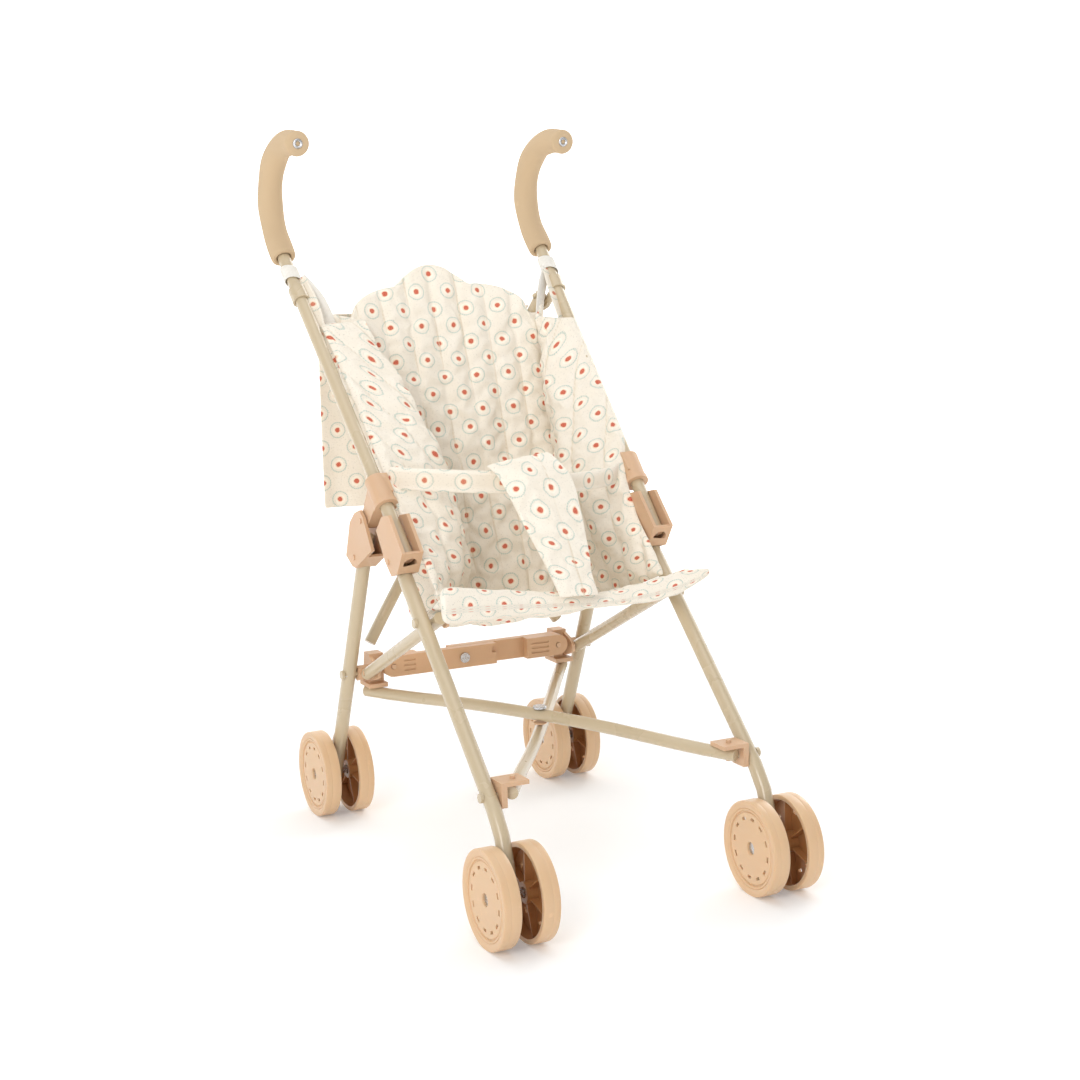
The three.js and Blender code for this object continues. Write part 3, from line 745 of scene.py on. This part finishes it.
def back_flap():
    """Spare cloth that hangs behind the back from its top edge."""
    columns = 50
    rows = 56
    width = 0.186
    drop = [(184, 411), (192, 405), (197, 392), (198, 350), (198, 300), (197, 250)]
    line = curve_through([(0, y, z) for y, z in drop], rows)
    points, flat = [], []
    run = 0
    for r, (_, y, z) in enumerate(line):
        run += float(np.linalg.norm(line[r] - line[r - 1])) if r else 0
        t = r / (rows - 1)
        row, cut = [], []
        for s in np.linspace(-1, 1, columns):
            x = s * width / 2 / MM
            billow = 2.5 * t * math.sin(x / 17 + 0.6) + 1.5 * t * math.sin(x / 7.5)
            row.append(np.array((x, y + billow, z)))
            cut.append((x * MM + 0.009, -run * MM))
        points.append(row)
        flat.append(cut)
    piece, _ = quilted("back_flap_sheet", to_world(points), flat, 1000, 0.1, seed=12, back_share=1, edge_mm=3)
    rounded(piece)
    sewn_to_frame(piece, "back_flap")


# Width of the tape, in millimetres. A sheet's flat size has to be 10 mm or more each
# way.
TAPE_WIDTH = 10


def tied_tape(name, side_name, path, across, thickness, printed=False):
    """One length of tape that rides on a push tube."""
    tape = ribbon(name, path, TAPE_WIDTH, across, thickness, COTTON if printed else TAPE)
    rounded(tape)
    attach(tape, f"push_{side_name}")
    return tape


def tie_loops():
    """White tape tied round each push tube, with two strands down to the wing tip."""
    for name, side in SIDES.items():
        axis = (on_tube(side, 300) - on_tube(side, 200)).normalized()
        one = axis.cross(Vector((1, 0, 0))).normalized()
        two = axis.cross(one)
        for turn, height in enumerate((284, 289)):
            centre = on_tube(side, height)
            ring = []
            for k in range(33):
                a = 2 * math.pi * k / 32
                lean = axis * (2.2 * math.sin(a + turn))
                ring.append(at(*(centre + (one * math.cos(a) + two * math.sin(a)) * 6.4 + lean)))
            tied_tape(f"tie_loop_{name}_turn_{turn}", name, ring, axis, 1.0)
        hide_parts(f"tie_loop_{name}")
        knot = on_tube(side, 284) + Vector((-side * 5, -5, 0))
        ends = (Vector((side * 108, 150, 401)), Vector((side * 92, 166, 404)))
        for k, end in enumerate(ends):
            hang = knot.lerp(end, 0.5) + Vector((-side * 2, -3, -2 + 2 * k))
            path = [at(*p) for p in curve_through([knot, hang, end + Vector((0, -2, -6))], 20)]
            across = Vector((1, 0.5 * side, 0))
            tied_tape(f"tie_strand_{name}_{k}", name, path, across, 1.3, printed=k == 0)


# ---------------------------------------------------------------- grips and their eyelets
# Radius and distance in from the end: the rolled mouth round the tube, and the closed nose.
GRIP_MOUTH = [(5.8, 7), (5.8, 1.2), (6.3, 0.3), (7.4, 0), (8.9, 0.2), (9.7, 0.9), (10, 2.2)]
GRIP_NOSE = [(10, 2.2), (9.7, 1.0), (9.1, 0.3), (8.2, 0.05), (2.4, 0)]
GRIP_HOOK = [(206, 457), (226, 478.5), (234.5, 503), (227, 527), (208, 542.5), (184, 548), (160, 546.5)]
EYELET = [(0, -1.4), (1.8, -1.4), (1.9, 0.4), (2.6, 0.9), (3.6, 0.6), (4.1, 0), (4.1, -1.6), (0, -1.6)]


def circle(centre, direction, radius, sides=40):
    """Points round a direction that lies in a side plane."""
    across = Vector((1, 0, 0))
    up = across.cross(direction)
    turns = np.linspace(0, 2 * math.pi, sides, endpoint=False)
    return [Vector(centre) + (across * math.cos(a) + up * math.sin(a)) * radius * MM for a in turns]


def grips():
    """Foam grips bent into a hook, with a rolled mouth and a small metal eyelet."""
    steps = 72
    for name, side in SIDES.items():
        path = [at(side * GRIP_X, y, z) for _, y, z in curve_through([(0, *p) for p in GRIP_HOOK], steps)]
        first = (path[1] - path[0]).normalized()
        last = (path[-1] - path[-2]).normalized()
        rings = [circle(path[0] + first * inset * MM, first, radius) for radius, inset in GRIP_MOUTH]
        for k in range(2, steps - 2):
            direction = (path[k + 1] - path[k - 1]).normalized()
            rings.append(circle(path[k], direction, 10 + 0.25 * math.sin(k * 0.35)))
        rings += [circle(path[-1] - last * inset * MM, last, radius) for radius, inset in GRIP_NOSE]
        piece = loft(f"grip_foam_{name}", rings, [FOAM])
        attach(piece, f"push_{name}")
        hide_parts(f"grip_{name}")
        nose = path[-1] + last * 0.2 * MM
        # The eyelet's hole is a shallow cup; its floor and wall are painted near-black as shade.
        eyelet = lathe(f"grip_eyelet_{name}", nose, last, EYELET, 32, [STEEL, HOLE_SHADE], {0: 1, 1: 1})
        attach(eyelet, f"push_{name}")
        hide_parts(f"grip_plug_{name}")


# ---------------------------------------------------------------- turned pieces, wheels and screws
def lathe(name, centre, axis, profile, sides, materials, face_material=None):
    """Turned piece: profile holds (radius, height along the axis) pairs in millimetres."""
    turn = Vector((0, 0, 1)).rotation_difference(Vector(axis)).to_matrix()
    points, faces, slots = [], [], []
    for radius, height in profile:
        for k in range(sides):
            a = 2 * math.pi * k / sides
            local = Vector((radius * math.cos(a), radius * math.sin(a), height)) * MM
            points.append(Vector(centre) + turn @ local)
    for r in range(len(profile) - 1):
        for k in range(sides):
            n = (k + 1) % sides
            faces.append((r * sides + k, r * sides + n, (r + 1) * sides + n, (r + 1) * sides + k))
            slots.append((face_material or {}).get(r, 0))
    piece = new_piece(name, points, faces, materials)
    piece.data.polygons.foreach_set("material_index", slots)
    return welded(piece, 40)


WHEEL_SIDES = 96
WINDOWS = 12
WINDOW_CELLS = 3
WHEEL_PROFILE = [
    (4.6, 1.2), (4.6, 4.6), (5.2, 5.2), (6.0, 5.3), (16, 5.0), (20.9, 4.8), (23.1, 4.8), (26.0, 4.9),
    (26.7, 4.2), (27.4, 4.2), (27.9, 5.4), (28.9, 5.6), (29.4, 5.1), (29.9, 5.7), (31.0, 6.2),
    (33.6, 6.5), (34.6, 6.2), (35.0, 5.4), (35.0, 1.5), (34.9, 1.2), (35.0, 0.9), (35.0, -5.6),
    (34.6, -6.3), (33.8, -6.5), (32.0, -6.5), (31.4, -6.2), (31.2, -5.4), (30.6, 2.2), (23.1, 2.6),
    (20.9, 2.6), (8.0, 2.6), (7.6, -5.0), (7.2, -5.4), (4.2, -5.4), (3.8, -5.0), (3.8, 1.2), (4.6, 1.2),
]
FRONT_WINDOW_ROW = 5
BACK_WINDOW_ROW = 28
FIRST_HOLLOW_ROW = 25
LAST_HOLLOW_ROW = 33


def wheel(name, outward_x):
    """Hollow-backed wheel with small windows round its disc and ribs behind it; its hollow back and ribs take
    a darker copy of the plastic as painted shade.
    """
    centre = middle(name)
    sides = WHEEL_SIDES
    pitch = sides // WINDOWS
    points = []
    for radius, height in WHEEL_PROFILE:
        for k in range(sides):
            a = 2 * math.pi * k / sides
            spot = Vector((outward_x * height, radius * math.cos(a), radius * math.sin(a)))
            points.append(centre + spot * MM)
    faces, slots = [], []

    def corner(row, k):
        return row * sides + k % sides

    for row in range(len(WHEEL_PROFILE) - 1):
        for k in range(sides):
            in_window = k % pitch < WINDOW_CELLS
            if in_window and row in (FRONT_WINDOW_ROW, BACK_WINDOW_ROW):
                continue
            faces.append((corner(row, k), corner(row, k + 1), corner(row + 1, k + 1), corner(row + 1, k)))
            # Faces inside the hollow back take the darker plastic, which is painted shade.
            slots.append(1 if FIRST_HOLLOW_ROW <= row <= LAST_HOLLOW_ROW else 0)
    front, back = FRONT_WINDOW_ROW, BACK_WINDOW_ROW
    for window in range(WINDOWS):
        first = window * pitch
        last = first + WINDOW_CELLS
        for k in range(first, last):
            for near, other in ((front, back + 1), (front + 1, back)):
                faces.append((corner(near, k), corner(near, k + 1), corner(other, k + 1), corner(other, k)))
            slots += [0, 0]
        for k in (first, last):
            faces.append((corner(front, k), corner(front + 1, k), corner(back, k), corner(back + 1, k)))
            slots.append(0)
    for rib in range(WINDOWS // 2):
        a = 2 * math.pi * (rib * 2 * pitch + (pitch + WINDOW_CELLS) / 2) / sides
        out = Vector((0, math.cos(a), math.sin(a)))
        wide = Vector((0, -math.sin(a), math.cos(a)))
        base = len(points)
        for radius, floor in ((7.8, -3.5), (30.7, -1.5)):
            for across, height in ((-0.55, floor), (0.55, floor), (0.55, 3.0), (-0.55, 3.0)):
                inward = Vector((outward_x * height * MM, 0, 0))
                points.append(centre + (out * radius + wide * across) * MM + inward)
        ends = [(0, 1, 2, 3), (7, 6, 5, 4)]
        ends += [(k, (k + 1) % 4, 4 + (k + 1) % 4, 4 + k) for k in range(4)]
        faces += [tuple(base + k for k in face) for face in ends]
        # The ribs stand in the hollow and take the darker plastic too, as painted shade.
        slots += [1] * len(ends)
    piece = new_piece(name + "_moulded", points, faces, [WHEEL, WHEEL_HOLLOW_SHADE])
    piece.data.polygons.foreach_set("material_index", slots)
    welded(piece, 32)
    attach(piece, name)
    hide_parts(name)


def wheels():
    for end in ("front", "rear"):
        for name, side in SIDES.items():
            for place, outwards in (("outer", 1), ("inner", -1)):
                wheel(f"wheel_{end}_{name}_{place}", side * outwards)


def screw(name, body, centre, axis, radius=3.2):
    """Domed screw head whose socket floor is painted near-black as shade."""
    socket = [(0, -0.2), (1.25, -0.2), (1.35, 0.9)]
    dome = [(2.0, 1.25), (radius - 0.6, 1.0), (radius, 0.3), (radius, -0.8), (0, -0.8)]
    piece = lathe(name, at(*centre), axis, socket + dome, 24, [STEEL, HOLE_SHADE], {0: 1})
    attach(piece, body)


def screws():
    """Heads on the bolts and rivets that the frame's pivots turn on."""
    for name, side in SIDES.items():
        out = Vector((side, 0, 0))
        bolt = side * (LEG_X + 7.5)
        cheek = side * (LEG_X + 8.9)
        tongue = side * (LEG_X + 5)
        inside = side * (LEG_X - 8.9)
        screw(f"seat_bolt_head_{name}", f"front_leg_{name}", (bolt, -35.5, 197.4), out)
        screw(f"front_bolt_head_{name}", f"front_leg_{name}", (bolt, -143.8, 95.2), out)
        screw(f"rear_bolt_head_{name}", f"rear_leg_{name}", (bolt, 123, 126), out, 2.8)
        screw(f"cradle_rivet_outer_{name}", f"front_leg_{name}", (cheek, 7.2, 236.4), out)
        screw(f"cradle_rivet_inner_{name}", f"front_leg_{name}", (inside, 7.2, 236.4), -out)
        screw(f"joint_pin_head_{name}", f"rear_leg_{name}", (cheek, 62, 260), out)
        screw(f"joint_rivet_head_{name}", f"rear_leg_{name}", (cheek, 79.4, 229), out)
        screw(f"collar_screw_{name}", f"push_{name}", (tongue, 46.6, 278), out, 2.8)


# ---------------------------------------------------------------- carried-over CAD parts
NODE_MATERIALS = {
    "push_tube": TUBE_PAINT, "upper_bracket": TUBE_PAINT, "front_leg": TUBE_PAINT, "rear_leg": TUBE_PAINT,
    "seat_rail": TUBE_PAINT, "base_brace": TUBE_PAINT, "back_brace": TUBE_PAINT, "lock_bar": LOCK,
    "lock_rivet": STEEL, "axle": STEEL, "base_cross_screw": STEEL, "back_cross_rivet": STEEL,
}


def dress(node, thing):
    """Gives a CAD part its material, soft edges and smooth shading; its shape stays."""
    chosen = [m for start, m in NODE_MATERIALS.items() if node.startswith(start)]
    thing.data.materials.clear()
    thing.data.materials.append(chosen[0] if chosen else BRACKET)
    for layer in ("custom_normal", "sharp_edge", "sharp_face"):
        if layer in thing.data.attributes:
            thing.data.attributes.remove(thing.data.attributes[layer])
    thing.data.polygons.foreach_set("use_smooth", [True] * len(thing.data.polygons))
    weld = thing.modifiers.new("weld", "WELD")
    weld.merge_threshold = 0.02 * MM
    bevel = thing.modifiers.new("soft edges", "BEVEL")
    bevel.width = 0.45 * MM
    bevel.segments = 2
    bevel.limit_method = "ANGLE"
    bevel.angle_limit = math.radians(38)
    bevel.harden_normals = True
    normals = thing.modifiers.new("normals", "WEIGHTED_NORMAL")
    normals.keep_sharp = True


def cad_parts():
    for node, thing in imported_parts.items():
        dress(node, thing)


# ---------------------------------------------------------------- stage, light and camera
CAMERA_PLACE = (-625.1, -1302.3, 491.2)
YAW = -25.94
PITCH = 9.75
ROLL = -1.38
LENS = 64.09


def stage():
    """Pale floor that sweeps up behind the stroller and glows more with distance."""
    half_width = 20
    sweep_start = 3
    sweep_radius = 3
    wall_top = 12
    turns = np.linspace(0, math.pi / 2, 24)
    bend = [(sweep_start + sweep_radius * math.sin(a), sweep_radius * (1 - math.cos(a))) for a in turns]
    profile = [(-half_width, 0), *bend, (sweep_start + sweep_radius, wall_top)]
    points = [(x, y, z) for y, z in profile for x in (-half_width, half_width)]
    faces = [(2 * k, 2 * k + 1, 2 * k + 3, 2 * k + 2) for k in range(len(profile) - 1)]
    floor = new_piece("floor", points, faces, [])
    s = Shader("pale floor")
    s.set(Base_Color=s.mix(s.noise(s.place(), 2, 2), (0.90, 0.90, 0.90, 1), (0.92, 0.92, 0.92, 1)))
    s.set(Roughness=0.9)
    s.surface.inputs["Emission Color"].default_value = (1, 1, 1, 1)
    far = s.vector("LENGTH", s.place()).outputs["Value"]
    s.set(Emission_Strength=s.ramp(far, 0.35, 2.2, 0.12, 0.7))
    floor.data.materials.append(s.material)
    floor.rotation_euler.z = math.radians(YAW)


def softbox(name, place, target, size, power):
    light = bpy.data.lights.new(name, "AREA")
    light.shape = "RECTANGLE"
    light.size, light.size_y = size
    light.energy = power
    lamp = bpy.data.objects.new(name, light)
    lamp.location = place
    lamp.rotation_euler = (Vector(target) - Vector(place)).to_track_quat("-Z", "Y").to_euler()
    bpy.context.scene.collection.objects.link(lamp)


def lights():
    world = bpy.data.worlds.new("studio")
    world.use_nodes = True
    world.node_tree.nodes["Background"].inputs[0].default_value = (1, 1, 1, 1)
    world.node_tree.nodes["Background"].inputs[1].default_value = 0.5
    bpy.context.scene.world = world
    aim = (0, 0, 0.25)
    softbox("overhead", (-0.3, -0.2, 2.4), aim, (2.0, 2.0), 15)
    softbox("key", (-1.9, -1.8, 1.5), aim, (1.1, 1.3), 28)
    softbox("rim", (1.8, 1.0, 1.3), aim, (0.9, 1.2), 10)


def camera():
    """Looks from the front, a little above, with a slight roll."""
    yaw, pitch, roll = (math.radians(a) for a in (YAW, PITCH, ROLL))
    look = Vector((-math.sin(yaw) * math.cos(pitch), math.cos(yaw) * math.cos(pitch), -math.sin(pitch)))
    right = look.cross(Vector((0, 0, 1))).normalized()
    up = right.cross(look)
    level = right.copy()
    right = level * math.cos(roll) + up * math.sin(roll)
    up = up * math.cos(roll) - level * math.sin(roll)
    data = bpy.data.cameras.new("camera")
    data.lens = LENS
    data.sensor_width = 36
    data.clip_end = 50
    eye = bpy.data.objects.new("camera", data)
    turn = Matrix((right, up, -look)).transposed().to_4x4()
    eye.matrix_world = Matrix.Translation(at(*CAMERA_PLACE)) @ turn
    bpy.context.scene.collection.objects.link(eye)
    bpy.context.scene.camera = eye


# ---------------------------------------------------------------- everything
camera()
stage()
lights()
bpy.context.scene.view_settings.view_transform = "Standard"
cad_parts()
seat_back()
side_panel("side_panel_left", 1)
side_panel("side_panel_right", -1)
seat_pan()
front_hem()
crotch_strap()
waist_straps()
back_flap()
tie_loops()
grips()
wheels()
screws()
